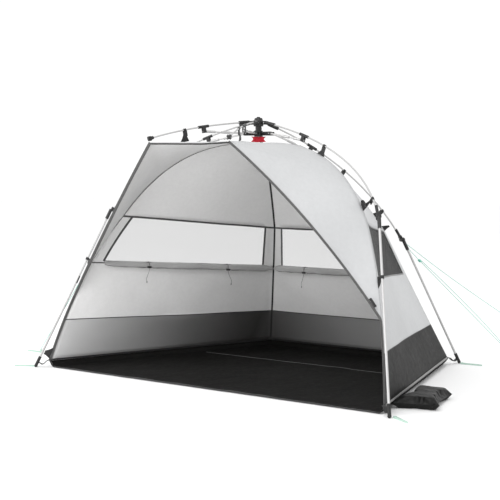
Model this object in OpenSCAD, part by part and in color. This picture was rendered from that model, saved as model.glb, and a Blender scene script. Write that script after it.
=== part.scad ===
// Quick-up beach shelter: six folding arms on a central hub, four jointed legs,
// a fabric cabin hung under the arms, a groundsheet, pegs and guylines.
// The origin is on the ground under the hub. +X is to the right for a person who
// looks in through the front, +Y is rearward and +Z is up. The left half mirrors
// the right half, so shapes are drawn for the right side.

/* [Frame] */
// Height of the pivots where the arms meet the hub
pivot_h = 1408; // [1400:1:1416]
// Distance of those pivots from the hub's axis
pivot_r = 46; // [42:1:50]
// Height of the strut pivots on the runner, frame open
runner_h = 1350; // [1344:1:1354]
// Distance of the strut pivots from the hub's axis
runner_r = 84; // [80:1:88]
// Diameter of the arms' poles
pole_d = 9; // [7:0.5:10]
// Diameter of the leg tubes
leg_d = 13; // [11:0.5:14]
// Diameter of the strut rods
strut_d = 7; // [5:0.5:8]
// Direction of the right side arm at the hub, in degrees from +X
side_turn = -6; // [-7:0.1:-5]
// Direction of the rear right arm, in degrees from +X
rear_turn = 57.2; // [54:0.1:60]
// Direction of the right visor arm, in degrees from +X
visor_turn = -65.7; // [-68:0.1:-60]

/* [Feet and elbows] */
// Right front foot, sideways from the middle
front_foot_x = 1200; // [1190:1:1210]
// Right front foot, forward of the hub
front_foot_y = -568; // [-575:1:-560]
// Right rear foot, sideways from the middle
rear_foot_x = 687; // [680:1:695]
// Right rear foot, behind the hub
rear_foot_y = 1068; // [1060:1:1075]
// Distance of a leg's axis from its arm's end, along the elbow pin
leg_shift = 20; // [19:1:24]

/* [Canopy] */
// Thickness of the fabric panels
cloth_t = 2; // [2:0.5:4]
// Height of the canopy under the hub
roof_h = 1296; // [1290:1:1300]
// Height of the hem that joins the walls and the groundsheet
hem_h = 37; // [30:1:45]
// Radius of a rolled window cover
roll_r = 14; // [10:0.5:16]
// How far the walls sag inwards between the arms
wall_sag = 26; // [10:1:40]
// Thickness of the groundsheet
floor_t = 3; // [3:0.5:6]

/* [Lines and pegs] */
// Diameter of the guylines
line_d = 3; // [2:0.5:4]
// Length of a peg
peg_l = 120; // [100:5:140]

/* [Hidden] */
$fn = 48;

pin_r = 3;
pin_gap = 0.1;
tongue_w = 8;
fork_gap = 0.6;
ear_t = 4;
sleeve_r = 8;
hub_sleeve_r = 10;
sleeve_h = 62;
pole_gap = 0.3;
strut_drop = 26;
// Length of a strut's flat inner end, long enough to pass between the runner's ears
flat_l = 100;
ferrule_l = 50;

side_arm = [polar(side_turn, 60, 1408), [738, -64, 1261], [908, -205, 913]];
rear_arm = [polar(rear_turn, 60, 1402), polar(rear_turn, 600, 1190), [478, 743, 746]];
visor_arm = [polar(visor_turn, 60, 1412), polar(visor_turn, 400, 1390), [271, -599, 1314]];
arms = [side_arm, rear_arm, visor_arm];
turns = [side_turn, rear_turn, visor_turn];
// Where along each arm its strut bracket sits
bracket_at = [0.22, 0.255, 0.43];
foot_r = 10;
feet = [[front_foot_x, front_foot_y, foot_r], [rear_foot_x, rear_foot_y, foot_r]];
// Directions of the elbow pins, towards the leg's side
knee_pins = [unit([0.575, -0.68, 0.454]), unit([0.838, -0.546, 0])];

front_corner = [1143, -515, hem_h];
rear_corner = [655, 989, hem_h];
front_rib = [
    [[0, 0, roof_h], [560, -30, 1338], [845, -200, 880]],
    [[845, -200, 880], [1045, -375, 560], front_corner]
];
rear_rib = [
    [[0, 0, roof_h], [226, 389, 1290], [400, 690, 790]],
    [[400, 690, 790], [500, 815, 480], rear_corner]
];
visor_rib = [[0, 0, roof_h], [150, -300, 1306], [268, -597, 1295]];
// The front opening's edge meets the front rib at this share of its lower stretch
edge_joins = 0.59;
// The visor's edge takes this share of the strips' length
edge_top = 0.35;
opening_edge = [visor_rib[2], [680, -450, 930], rib(front_rib, 0.5 + 0.5 * edge_joins)];

guyline_rear_high_route = [
    [482, 752, 736], [488, 800, 710], [500, 900, 658], [520, 1090, 562],
    [545, 1330, 446], [580, 1650, 296], [610, 1920, 172], [634, 2130, 78], [650, 2275, 14]
];
guyline_rear_low_route = [
    [486, 753, 722], [498, 800, 683], [520, 882, 616], [555, 1010, 513],
    [600, 1180, 377], [650, 1370, 227], [690, 1525, 105], [720, 1640, 14]
];
guyline_front_route = [
    [-895, -176, 896], [-940, -175, 842], [-1050, -172, 706], [-1200, -168, 520],
    [-1350, -164, 334], [-1480, -162, 174], [-1608, -160, 14]
];

function unit(v) = v / norm(v);
function polar(a, r, z) = [r * cos(a), r * sin(a), z];
function bend(p, t) = (1 - t) * (1 - t) * p[0] + 2 * t * (1 - t) * p[1] + t * t * p[2];
function bend_way(p, t) = unit((1 - t) * (p[1] - p[0]) + t * (p[2] - p[1]));
function along(p, n) = [for (i = [0 : n]) bend(p, i / n)];
function mix(a, b, u) = a * (1 - u) + b * u;
function rib(r, v) = v < 0.5 ? bend(r[0], 2 * v) : bend(r[1], 2 * v - 1);
function flip(p) = [-p[0], p[1], p[2]];
function level(a) = [cos(a), sin(a), 0];
// A point below an arm, square to it in its upright plane
function below(i, t, drop) =
    let (w = bend_way(arms[i], t), h = norm([w[0], w[1]]))
    bend(arms[i], t) + drop * [w[0] / h * w[2], w[1] / h * w[2], -h];

// Places children with their z axis along way and their x axis towards side
module aim(at, way, side) {
    z = unit(way);
    x = unit(side - (side * z) * z);
    y = cross(z, x);
    multmatrix([
        [x[0], y[0], z[0], at[0]],
        [x[1], y[1], z[1], at[1]],
        [x[2], y[2], z[2], at[2]],
        [0, 0, 0, 1]
    ]) children();
}

// A round tube along a list of points, closed at both ends
module sweep(route, r, sides = 10) {
    last = len(route) - 1;
    ways = [for (i = [0 : last]) unit(route[min(i + 1, last)] - route[max(i - 1, 0)])];
    points = [
        for (i = [0 : last])
            let (a = unit(cross(ways[i], [0.1, 0.2, 1])), b = cross(ways[i], a))
            for (k = [0 : sides - 1])
                route[i] + r * (cos(360 * k / sides) * a + sin(360 * k / sides) * b)
    ];
    walls = [
        for (i = [0 : last - 1], k = [0 : sides - 1])
            let (n = (k + 1) % sides)
            [i * sides + k, i * sides + n, (i + 1) * sides + n, (i + 1) * sides + k]
    ];
    start = [[for (k = [0 : sides - 1]) sides - 1 - k]];
    end = [[for (k = [0 : sides - 1]) last * sides + k]];
    polyhedron(points, [for (f = concat(walls, start, end)) [for (k = [len(f) - 1 : -1 : 0]) f[k]]]);
}

// A sheet through a grid of points, thickened from the grid along its normals
module sheet(grid, t, shift = 0) {
    rows = len(grid) - 1;
    cols = len(grid[0]) - 1;
    function normal(i, j) = unit(cross(
        grid[min(i + 1, rows)][j] - grid[max(i - 1, 0)][j],
        grid[i][min(j + 1, cols)] - grid[i][max(j - 1, 0)]
    ));
    function id(i, j, layer) = layer * (rows + 1) * (cols + 1) + i * (cols + 1) + j;
    points = [
        for (layer = [0, 1], i = [0 : rows], j = [0 : cols])
            grid[i][j] + (shift + layer * t) * normal(i, j)
    ];
    faces = concat(
        [for (i = [0 : rows - 1], j = [0 : cols - 1])
            each [[id(i, j, 0), id(i + 1, j, 0), id(i + 1, j + 1, 0)],
                  [id(i, j, 0), id(i + 1, j + 1, 0), id(i, j + 1, 0)]]],
        [for (i = [0 : rows - 1], j = [0 : cols - 1])
            each [[id(i, j, 1), id(i + 1, j + 1, 1), id(i + 1, j, 1)],
                  [id(i, j, 1), id(i, j + 1, 1), id(i + 1, j + 1, 1)]]],
        [for (i = [0 : rows - 1], j = [0, cols])
            j == 0
                ? [id(i, j, 0), id(i, j, 1), id(i + 1, j, 1), id(i + 1, j, 0)]
                : [id(i, j, 0), id(i + 1, j, 0), id(i + 1, j, 1), id(i, j, 1)]],
        [for (j = [0 : cols - 1], i = [0, rows])
            i == 0
                ? [id(i, j, 0), id(i, j + 1, 0), id(i, j + 1, 1), id(i, j, 1)]
                : [id(i, j, 0), id(i, j, 1), id(i, j + 1, 1), id(i, j + 1, 0)]]
    );
    polyhedron(points, faces);
}

// Points of a wall between two ribs; u runs across it and v runs down it
function wall_point(a, b, u, v) =
    let (p = mix(rib(a, v), rib(b, v), u), sag = 4 * u * (1 - u) * wall_sag * sin(180 * v))
    p - sag * unit([p[0], p[1], 0.001]);
function mirrored(r) = [for (part = r) [for (p = part) flip(p)]];
function wall_grid(a, b, us, vs) = [for (u = us) [for (v = vs) wall_point(a, b, u, v)]];
function steps(a, b, n) = [for (i = [0 : n]) a + (b - a) * i / n];

module each_side(right) {
    if (right) children();
    else mirror([1, 0, 0]) children();
}

// Two ears round a gap, drawn along +x from the origin's pivot back to the hub
module fork(reach, inner, low, high, pin) {
    for (y = [tongue_w / 2 + fork_gap, -tongue_w / 2 - fork_gap - ear_t])
        translate([inner, y, low]) cube([reach - inner, ear_t, high - low]);
    if (pin) rotate([90, 0, 0])
        cylinder(r = pin_r, h = tongue_w + 2 * fork_gap + 2 * ear_t, center = true);
}

module hub_crown() {
    color("#1d1d1f") {
        difference() {
            translate([0, 0, pivot_h - 18]) cylinder(r = 27, h = 46 - 18);
            translate([0, 0, pivot_h - 8]) cylinder(r = 11.3, h = 60);
        }
        difference() {
            translate([0, 0, pivot_h + 10]) cylinder(r1 = 27, r2 = 20, h = 18);
            translate([0, 0, pivot_h - 8]) cylinder(r = 11.3, h = 60);
        }
        translate([0, 0, runner_h + 17]) cylinder(r = 17, h = pivot_h - runner_h - 34);
        for (side = [1, -1], a = turns)
            rotate([0, 0, side > 0 ? a : 180 - a]) translate([pivot_r, 0, pivot_h])
                fork(8, 22 - pivot_r, -8, 11, true);
    }
}

module release_button() {
    color("#1d1d1f") {
        translate([0, 0, pivot_h]) cylinder(r = 11, h = 30);
        translate([0, 0, pivot_h + 29]) cylinder(r1 = 11, r2 = 8.5, h = 5);
    }
}

module runner() {
    color("#1d1d1f") {
        difference() {
            translate([0, 0, runner_h - 16]) cylinder(r = 24, h = 32);
            translate([0, 0, runner_h + 4]) cylinder(r = 18, h = 20);
        }
        for (side = [1, -1], a = turns)
            rotate([0, 0, side > 0 ? a : 180 - a]) translate([runner_r, 0, runner_h])
                fork(7, 21 - runner_r, -10, 10, false);
    }
}

module pull_strap() {
    color("#c8102e") rotate([0, 0, 38]) translate([0, -12, 0]) rotate([90, 0, 0])
        linear_extrude(3) polygon([
            [-42, runner_h - 17], [42, runner_h - 17], [30, runner_h - 32],
            [36, runner_h - 46], [-36, runner_h - 41], [-28, runner_h - 30]
        ]);
}

module pole(i, right) {
    color("#dfe1e0") each_side(right) sweep(along(arms[i], 16), pole_d / 2, 12);
}

// The sleeve at the hub, the strut bracket and the fabric clips of one arm
module brackets(i, clips, right) {
    across = level(turns[i] + 90);
    hub_end = polar(turns[i], pivot_r, pivot_h);
    root = arms[i][0];
    sleeve_way = bend(arms[i], sleeve_h / 2 / norm(arms[i][1] - root)) - root;
    at = bend(arms[i], bracket_at[i]);
    at_way = bend_way(arms[i], bracket_at[i]);
    lug = below(i, bracket_at[i], strut_drop);
    color("#1d1d1f") each_side(right) {
        difference() {
            union() {
                aim(root - 1.5 * unit(sleeve_way), sleeve_way, across)
                    cylinder(r = hub_sleeve_r, h = sleeve_h);
                aim(hub_end, root - hub_end, across)
                    translate([0.3 - tongue_w / 2, -6, 1]) cube([tongue_w - 0.6, 12, 15]);
                translate(hub_end) rotate([0, 0, turns[i]]) rotate([90, 0, 0])
                    cylinder(r = sleeve_r, h = tongue_w, center = true);
            }
            translate(hub_end) rotate([0, 0, turns[i]]) rotate([90, 0, 0])
                cylinder(r = pin_r + pin_gap, h = 20, center = true);
            aim(root - 0.3 * unit(sleeve_way), sleeve_way, across)
                cylinder(r = pole_d / 2 + pole_gap, h = sleeve_h + 10);
        }
        difference() {
            union() {
                aim(at - 30 * at_way, at_way, across) cylinder(r = sleeve_r, h = sleeve_h);
                for (x = [tongue_w / 2 + fork_gap, -tongue_w / 2 - fork_gap - ear_t])
                    aim(lug, at - lug, across) translate([x, -10, -8]) cube([ear_t, 20, strut_drop + 6]);
            }
            aim(at - 35 * at_way, at_way, across) cylinder(r = pole_d / 2 + pole_gap, h = sleeve_h + 10);
        }
        aim(lug, across, [0, 0, 1])
            cylinder(r = pin_r, h = tongue_w + 2 * fork_gap + 2 * ear_t, center = true);
        for (t = clips) clip(bend(arms[i], t), bend_way(arms[i], t), pole_d / 2, 34);
    }
}

// A hook round a pole with a tab down to the fabric
module clip(at, way, r, drop, wide = 24) {
    difference() {
        union() {
            aim(at - 7 * way, way, [0, 0, 1]) cylinder(r = r + 3, h = 14);
            aim(at, way, [0, 0, 1]) translate([-drop, -2.5, -wide / 2]) cube([drop, 5, wide]);
        }
        aim(at - 20 * way, way, [0, 0, 1]) cylinder(r = r + 0.3, h = 40);
    }
}

module strut(i, right) {
    lug = below(i, bracket_at[i], strut_drop);
    run = polar(turns[i], runner_r, runner_h);
    long = norm(run - lug);
    color("#b9bcbd") each_side(right) difference() {
        aim(lug, run - lug, level(turns[i] + 90)) {
            rotate([0, 90, 0]) cylinder(r = sleeve_r, h = tongue_w, center = true);
            translate([-tongue_w / 2, -5, 0]) cube([tongue_w, 10, 18]);
            translate([0, 0, 15]) cylinder(r = 7, h = 52);
            cylinder(r = strut_d / 2, h = long - 6);
            translate([0, 0, long - flat_l + 4 - ferrule_l]) cylinder(r = 7, h = ferrule_l);
            translate([-tongue_w / 2, -5, long - flat_l]) cube([tongue_w, 10, flat_l]);
            translate([0, 0, long]) rotate([0, 90, 0]) cylinder(r = 5, h = tongue_w, center = true);
        }
        aim(lug, level(turns[i] + 90), [0, 0, 1]) cylinder(r = pin_r + pin_gap, h = 20, center = true);
    }
}

// The arm's half of the elbow, with the pin
module knee(i, right) {
    end = arms[i][2];
    way = bend_way(arms[i], 1);
    color("#1d1d1f") each_side(right) {
        difference() {
            union() {
                aim(end - 70 * way, way, knee_pins[i]) cylinder(r = sleeve_r, h = 60);
                aim(end - 24 * way, way, knee_pins[i]) translate([-8, -9, 0]) cube([16, 18, 24]);
                aim(end - 8 * knee_pins[i], knee_pins[i], way) cylinder(r = 13, h = 16);
            }
            sweep(along(arms[i], 16), pole_d / 2 + 0.02, 12);
        }
        aim(end + 4 * knee_pins[i], knee_pins[i], way) cylinder(r = pin_r, h = 17);
    }
}

function leg_top(i) = arms[i][2] + leg_shift * knee_pins[i];
function leg_way(i) = unit(feet[i] - leg_top(i));

// The leg's half of the elbow
module socket(i, right) {
    pin = knee_pins[i];
    color("#1d1d1f") each_side(right) difference() {
        union() {
            aim(arms[i][2] + 9 * pin, pin, leg_way(i)) cylinder(r = 13, h = 12);
            aim(leg_top(i) + 4 * leg_way(i), leg_way(i), pin) cylinder(r = leg_d / 2 + 3.2, h = 62);
        }
        aim(arms[i][2], pin, leg_way(i)) cylinder(r = pin_r + pin_gap, h = 21.2);
        aim(leg_top(i) + 14 * leg_way(i), leg_way(i), pin) cylinder(r = leg_d / 2 + 0.02, h = 90);
    }
}

module leg(i, right) {
    long = norm(feet[i] - leg_top(i));
    color("#dfe1e0") each_side(right) aim(leg_top(i) + 14.2 * leg_way(i), leg_way(i), knee_pins[i])
        difference() {
            cylinder(d = leg_d, h = long - 28);
            translate([0, 0, -1]) cylinder(d = leg_d - 2.4, h = long);
        }
}

// The rubber foot of one leg, with a fabric clip higher up on the front legs
module foot(i, right) {
    way = leg_way(i);
    long = norm(feet[i] - leg_top(i));
    color("#161617") each_side(right) {
        difference() {
            union() {
                aim(feet[i] - 58 * way, way, knee_pins[i]) cylinder(r = foot_r - 1, h = 58);
                translate(feet[i]) sphere(r = foot_r);
            }
            aim(feet[i] - 90 * way, way, knee_pins[i]) cylinder(r = leg_d / 2 + 0.02, h = 90 - 13.5);
        }
        if (i == 0) aim(leg_top(i) + 0.32 * long * way, way, knee_pins[i]) difference() {
            union() {
                translate([0, 0, -8]) cylinder(r = leg_d / 2 + 3, h = 16);
                rotate([0, 0, 118]) translate([2, -3, -6]) cube([22, 6, 12]);
            }
            translate([0, 0, -20]) cylinder(r = leg_d / 2 + 0.2, h = 40);
        }
    }
}

// The arm's end cap, which holds the visor's corner
module tip_visor(right) {
    end = visor_arm[2];
    way = bend_way(visor_arm, 1);
    color("#1d1d1f") each_side(right) difference() {
        union() {
            aim(end - 26 * way, way, [0, 0, 1]) cylinder(r = 9, h = 32);
            for (turn = [45, -45]) aim(end - 4 * way, way, [0, 0, 1])
                rotate([0, 0, turn]) translate([-14, -3.5, -8]) cube([28, 7, 16]);
        }
        sweep(along(visor_arm, 16), pole_d / 2 + 0.02, 12);
    }
}

module roof_front() {
    grid = [for (u = steps(0, 1, 6)) [for (v = steps(0.08, 1, 8))
        let (p = bend(visor_rib, v)) mix(p, flip(p), u) - [0, 0, 14 * 4 * u * (1 - u) * v]]];
    color("#e4e7e8") {
        sheet(grid, cloth_t);
        translate([0, 0, roof_h + 1]) cylinder(r = 20, h = cloth_t);
    }
}

module front_strip(right) {
    vs = steps(0.1, 0.985, 12);
    grid = [for (u = steps(0.015, 0.985, 3)) [for (v = vs)
        let (a = rib(front_rib, v * (0.5 + 0.5 * edge_joins)),
             b = v < edge_top ? bend(visor_rib, v / edge_top)
                 : bend(opening_edge, (v - edge_top) / (1 - edge_top)))
        mix(a, b, u)]];
    color("#e4e7e8") each_side(right) sheet(grid, cloth_t);
}

module wall_right() {
    color("#e4e7e8") sheet(wall_grid(rear_rib, front_rib, steps(0.01, 0.99, 8), steps(0.06, 1, 14)), cloth_t);
}

module wall_left() {
    color("#e4e7e8") mirror([1, 0, 0])
        sheet(wall_grid(rear_rib, front_rib, steps(0.01, 0.99, 8), steps(0.06, 1, 14)), cloth_t);
}

module wall_back() {
    color("#e4e7e8")
        sheet(wall_grid(mirrored(rear_rib), rear_rib, steps(0.01, 0.99, 8), steps(0.06, 1, 14)), cloth_t);
}

module side_window() {
    sheet(wall_grid(rear_rib, front_rib, steps(0.12, 0.93, 4), steps(0.5, 0.66, 3)), 1.5, cloth_t + 2);
}

module window_panels() {
    color("#5b5d5f", 0.6) {
        side_window();
        mirror([1, 0, 0]) side_window();
        sheet(wall_grid(mirrored(rear_rib), rear_rib, steps(0.08, 0.92, 5), steps(0.49, 0.66, 3)),
            1.5, cloth_t + 2);
    }
}

module cover_roll(a, b, from, to) {
    sweep([for (u = steps(from, to, 6))
        let (p = wall_point(a, b, u, 0.68)) p - 20 * unit([p[0], p[1], 0])], roll_r, 12);
}

// Two covers are rolled up on their sills; the right one is closed inside its window
module window_covers() {
    color("#8b8d8f") {
        cover_roll(mirrored(rear_rib), mirrored(front_rib), 0.07, 0.94);
        cover_roll(mirrored(rear_rib), rear_rib, 0.06, 0.94);
        sheet(wall_grid(rear_rib, front_rib, steps(0.1, 0.95, 6), steps(0.485, 0.68, 4)), 1.5, -8);
    }
}

module floor_outline(inset) {
    offset(delta = -inset) polygon([
        [-front_corner[0], front_corner[1]], [front_corner[0], front_corner[1]],
        [rear_corner[0], rear_corner[1]], [-rear_corner[0], rear_corner[1]]
    ]);
}

module groundsheet() {
    color("#2b2a2a") difference() {
        hull() {
            linear_extrude(floor_t) floor_outline(44);
            translate([0, 0, hem_h - 2]) linear_extrude(1) floor_outline(1);
        }
        hull() {
            translate([0, 0, floor_t]) linear_extrude(1) floor_outline(48);
            translate([0, 0, hem_h]) linear_extrude(1) floor_outline(4);
        }
        translate([-1090, front_corner[1] - 10, floor_t]) cube([2180, 120, 60]);
    }
}

module sand_pocket(right) {
    outline = [
        [1210, -340], [1288, -290], [1270, -200], [1218, -50],
        [1150, 128], [1060, 162], [960, 190], [985, 70], [1072, -200]
    ];
    top = [[1200, -270], [1225, -190], [1120, 60], [1020, 120], [1100, -150]];
    color("#232324") each_side(right) hull() {
        linear_extrude(5) offset(r = 6) polygon(outline);
        linear_extrude(38) offset(r = 12) polygon(top);
    }
}

// A webbing strap from a floor corner to just short of a foot
module corner_strap(i, corner) {
    foot = [feet[i][0], feet[i][1], 26] - 10 * [leg_way(i)[0], leg_way(i)[1], 0];
    away = unit([foot[0] - corner[0], foot[1] - corner[1], 0]);
    start = corner + 8 * away - [0, 0, 9];
    way = foot - 24 * away - start;
    aim(start, way, [0, 0, 1]) translate([-10, -1, 0]) cube([20, 2, norm(way)]);
}

module corner_straps() {
    color("#1b1b1c") for (right = [true, false]) each_side(right) {
        corner_strap(0, front_corner);
        corner_strap(1, rear_corner);
    }
}

module peg() {
    linear_extrude(8) polygon([[0, -8], [peg_l, -2.5], [peg_l + 6, 0], [peg_l, 2.5], [0, 8]]);
    translate([-4, 0, 0]) cylinder(r = 9, h = 9);
}

module foot_pegs() {
    color("#dfe9e2") for (right = [true, false]) each_side(right) {
        translate([front_foot_x + 22, front_foot_y + 16, 0]) rotate([0, 0, -32]) peg();
        translate([rear_foot_x + 28, rear_foot_y - 10, 0]) rotate([0, 0, 2]) peg();
    }
}

// Each peg has a post behind its head, drilled along the line that it holds
module guyline_pegs() {
    color("#dfe9e2") for (route = [guyline_rear_high_route, guyline_rear_low_route, guyline_front_route])
        let (
            end = route[len(route) - 1],
            from = route[len(route) - 2] - end,
            rise = atan2(from[2], norm([from[0], from[1]]))
        )
        translate([end[0], end[1], 0]) rotate([0, 0, atan2(from[1], from[0])]) difference() {
            union() {
                translate([8, 0, 0]) rotate([0, 0, 180]) peg();
                translate([10, 0, 0]) cylinder(r = 6, h = 20);
            }
            translate([0, 0, end[2]]) rotate([0, 90 - rise, 0])
                cylinder(r = line_d / 2 + 1.5, h = 60, center = true);
        }
}

module guyline(route) {
    color("#a9d9cb") sweep(route, line_d / 2, 8);
}

module line_tensioner() {
    low = guyline_rear_low_route;
    color("#9fd2c4") aim(low[2], low[2] - low[1], [1, 0, 0]) difference() {
        translate([-9, -4, -11]) cube([18, 8, 22]);
        translate([0, 0, -30]) cylinder(r = line_d / 2 + 0.6, h = 60);
    }
}

hub_crown();
release_button();
runner();
pull_strap();
pole(0, true);  // pole_front_right
pole(0, false);  // pole_front_left
pole(1, true);  // pole_rear_right
pole(1, false);  // pole_rear_left
pole(2, true);  // pole_visor_right
pole(2, false);  // pole_visor_left
brackets(0, [0.36, 0.86], true);  // brackets_front_right
brackets(0, [0.36, 0.86], false);  // brackets_front_left
brackets(1, [0.48, 0.8], true);  // brackets_rear_right
brackets(1, [0.48, 0.8], false);  // brackets_rear_left
brackets(2, [0.62], true);  // brackets_visor_right
brackets(2, [0.62], false);  // brackets_visor_left
strut(0, true);  // strut_front_right
strut(0, false);  // strut_front_left
strut(1, true);  // strut_rear_right
strut(1, false);  // strut_rear_left
strut(2, true);  // strut_visor_right
strut(2, false);  // strut_visor_left
knee(0, true);  // knee_front_right
knee(0, false);  // knee_front_left
knee(1, true);  // knee_rear_right
knee(1, false);  // knee_rear_left
tip_visor(true);  // tip_visor_right
tip_visor(false);  // tip_visor_left
socket(0, true);  // socket_front_right
socket(0, false);  // socket_front_left
socket(1, true);  // socket_rear_right
socket(1, false);  // socket_rear_left
leg(0, true);  // leg_front_right
leg(0, false);  // leg_front_left
leg(1, true);  // leg_rear_right
leg(1, false);  // leg_rear_left
foot(0, true);  // foot_front_right
foot(0, false);  // foot_front_left
foot(1, true);  // foot_rear_right
foot(1, false);  // foot_rear_left
roof_front();
front_strip(true);  // front_strip_right
front_strip(false);  // front_strip_left
wall_right();
wall_left();
wall_back();
window_panels();
window_covers();
groundsheet();
sand_pocket(true);  // sand_pocket_right
sand_pocket(false);  // sand_pocket_left
corner_straps();
foot_pegs();
guyline_pegs();
guyline(guyline_rear_high_route);  // guyline_rear_high
guyline(guyline_rear_low_route);  // guyline_rear_low
guyline(guyline_front_route);  // guyline_front
line_tensioner();
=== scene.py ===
"""Beach shelter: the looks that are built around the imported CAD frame. Lengths are in metres."""

import math

import bpy
from mathutils import Matrix, Vector, noise


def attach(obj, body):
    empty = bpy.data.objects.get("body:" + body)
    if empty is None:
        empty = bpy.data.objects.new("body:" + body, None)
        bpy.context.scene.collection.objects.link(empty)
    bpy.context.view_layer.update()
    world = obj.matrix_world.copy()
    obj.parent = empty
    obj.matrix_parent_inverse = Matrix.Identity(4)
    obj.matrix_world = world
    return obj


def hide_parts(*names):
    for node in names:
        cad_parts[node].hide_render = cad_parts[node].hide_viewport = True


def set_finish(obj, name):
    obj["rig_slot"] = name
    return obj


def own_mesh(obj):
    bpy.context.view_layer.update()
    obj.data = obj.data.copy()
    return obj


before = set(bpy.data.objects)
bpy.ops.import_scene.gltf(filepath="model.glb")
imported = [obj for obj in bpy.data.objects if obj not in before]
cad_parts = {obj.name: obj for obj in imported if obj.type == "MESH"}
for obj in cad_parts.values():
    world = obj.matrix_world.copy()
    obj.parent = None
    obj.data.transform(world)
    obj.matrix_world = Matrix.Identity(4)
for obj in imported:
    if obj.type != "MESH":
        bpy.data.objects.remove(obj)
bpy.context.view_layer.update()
UP = Vector((0, 0, 1))

# ---------------------------------------------------------------- camera

camera_data = bpy.data.cameras.new("camera")
camera_data.lens = 88.47
camera_data.sensor_width = 36
camera = bpy.data.objects.new("camera", camera_data)
camera.location = (4.145, -5.426, 1.16)
camera.rotation_euler = (math.radians(90 - 3.816), 0, math.radians(37.77))
bpy.context.scene.collection.objects.link(camera)
bpy.context.scene.camera = camera

# ---------------------------------------------------------------- materials


class Nodes:
    """A material whose colour, roughness and bump come from nodes."""

    def __init__(self, name, roughness=0.6, metallic=0.0, **sockets):
        self.material = bpy.data.materials.new(name)
        self.material.use_nodes = True
        self.tree = self.material.node_tree
        self.shader = self.tree.nodes["Principled BSDF"]
        self.shader.inputs["Roughness"].default_value = roughness
        self.shader.inputs["Metallic"].default_value = metallic
        for socket, value in sockets.items():
            self.shader.inputs[socket.replace("_", " ")].default_value = value
        self.place = self.tree.nodes.new("ShaderNodeTexCoord").outputs["Object"]

    def node(self, kind, inputs=(), **settings):
        made = self.tree.nodes.new(kind)
        for key, value in settings.items():
            setattr(made, key, value)
        for key, value in dict(inputs).items():
            if isinstance(value, bpy.types.NodeSocket):
                self.tree.links.new(value, made.inputs[key])
            else:
                made.inputs[key].default_value = value
        return made

    def noise(self, scale, detail=3.0, rough=0.55, place=None):
        return self.node(
            "ShaderNodeTexNoise",
            {"Vector": place or self.place, "Scale": scale, "Detail": detail, "Roughness": rough},
        ).outputs["Fac"]

    def weave(self, threads, place=None):
        """Height of a plain weave with that many threads a metre."""
        waves = [
            self.node(
                "ShaderNodeTexWave",
                {"Vector": place or self.place, "Scale": threads / 6.283, "Distortion": 0.4,
                 "Detail": 1.0, "Detail Scale": 2.0},
                bands_direction=way,
            ).outputs["Fac"]
            for way in ("DIAGONAL", "Z")
        ]
        return self.math("MAXIMUM", *waves)

    def math(self, operation, a, b=0.5):
        return self.node("ShaderNodeMath", {0: a, 1: b}, operation=operation).outputs[0]

    def ramp(self, value, low, high, a, b):
        return self.node(
            "ShaderNodeMapRange",
            {"Value": value, "From Min": low, "From Max": high, "To Min": a, "To Max": b},
        ).outputs["Result"]

    def mix(self, share, a, b):
        made = self.node("ShaderNodeMix", data_type="RGBA")
        for socket, value in (("Factor", share), ("A", a), ("B", b)):
            slot = next(s for s in made.inputs if s.name == socket and s.type in ("RGBA", "VALUE")
                        and (s.type == "RGBA") == (socket != "Factor"))
            if isinstance(value, bpy.types.NodeSocket):
                self.tree.links.new(value, slot)
            elif socket == "Factor":
                slot.default_value = value
            else:
                slot.default_value = (*value, 1)
        return next(s for s in made.outputs if s.type == "RGBA")

    def colour(self, value):
        self.tree.links.new(value, self.shader.inputs["Base Color"])

    def rough(self, value):
        self.tree.links.new(value, self.shader.inputs["Roughness"])

    def bump(self, *layers):
        """Layers of (height socket, distance in metres), one over the other."""
        below = None
        for height, distance in layers:
            inputs = {"Height": height, "Distance": distance, "Strength": 1.0}
            if below:
                inputs["Normal"] = below
            below = self.node("ShaderNodeBump", inputs).outputs["Normal"]
        self.tree.links.new(below, self.shader.inputs["Normal"])


def grey(value, warm=0.0):
    return (value * (1 + warm), value, value * (1 - warm))


def cloth(name, light, dark, roughness=0.75, threads=2600, creases=0.0016, sheen=0.15, band=None,
          gloss=0.35):
    """Woven polyester. band is (low, high, pale): painted light, for light shining through the fabric: how
    deep in the cabin a fade from pale starts and ends, with a painted pale patch at the back wall's right
    end.
    """
    m = Nodes(name, roughness, Sheen_Weight=sheen, Sheen_Roughness=0.5, Specular_IOR_Level=gloss)
    large, fine = m.noise(2.2, 2.0), m.noise(46.0, 4.0)
    tone = m.mix(m.ramp(large, 0.35, 0.65, 0.0, 1.0), light, dark)
    worn = m.mix(m.ramp(fine, 0.3, 0.75, 0.0, 0.22), tone, tuple(c * 0.82 for c in dark))
    threads_up = m.weave(threads)
    final = m.mix(m.ramp(threads_up, 0.0, 1.0, 0.16, 0.0), worn, tuple(c * 0.7 for c in dark))
    # painted light: the colour turns pale towards the cabin's opening and at the back wall's right end, for
    # light shining through the fabric
    if band:
        low, high, pale = band
        axes = m.node("ShaderNodeSeparateXYZ", {"Vector": m.place}).outputs
        x_signed, y = axes["X"], axes["Y"]
        x = m.math("ABSOLUTE", x_signed, 0.0)
        depth = m.math("SUBTRACT", y, m.math("MULTIPLY", x, 0.35))
        fade = m.math("POWER", m.ramp(depth, low, high, 1.0, 0.0), 1.7)
        corner = m.math("MULTIPLY", m.ramp(x_signed, -0.6, 0.2, 0.06, 0.4), m.ramp(y, 0.82, 0.9, 0.0, 1.0))
        final = m.mix(m.math("MAXIMUM", fade, corner), final, pale)
    m.colour(final)
    m.rough(m.ramp(fine, 0.2, 0.8, roughness - 0.08, roughness + 0.08))
    m.bump((m.noise(7.0, 3.0, 0.5), creases * 3), (m.noise(34.0, 3.0, 0.6), creases * 0.35),
           (threads_up, 0.00003))
    return m.material


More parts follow.
